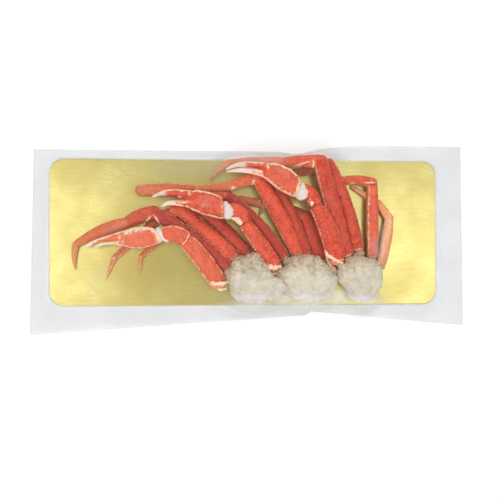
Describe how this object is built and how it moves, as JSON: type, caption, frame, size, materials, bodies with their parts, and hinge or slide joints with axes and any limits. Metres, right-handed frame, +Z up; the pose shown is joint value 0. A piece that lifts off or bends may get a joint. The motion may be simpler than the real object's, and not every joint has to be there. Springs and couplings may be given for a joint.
{
  "type": "vacuum-packed snow crab clusters",
  "caption": "Snow crab clusters, legs and claw arms on their shoulders, sealed under clear film on a gold card.",
  "frame": {"origin": "centre of the bag's base, on the surface that it lies on", "axes": "+X along the bag's long side, +Y across it from the shoulders to the knees of the legs, +Z up"},
  "size_m": [0.456, 0.197, 0.0388],
  "materials": {
    "clear_film": "clear glossy film, slightly milky",
    "gold_card": "embossed satin gold foil on card",
    "crab_shell": "cooked crab shell, satin, cream along its edges",
    "crab_meat": "pale body meat and membrane, moist"
  },
  "bodies": {
    "root": {"sealed_bag": "clear_film"}
  },
  "joints": []
}
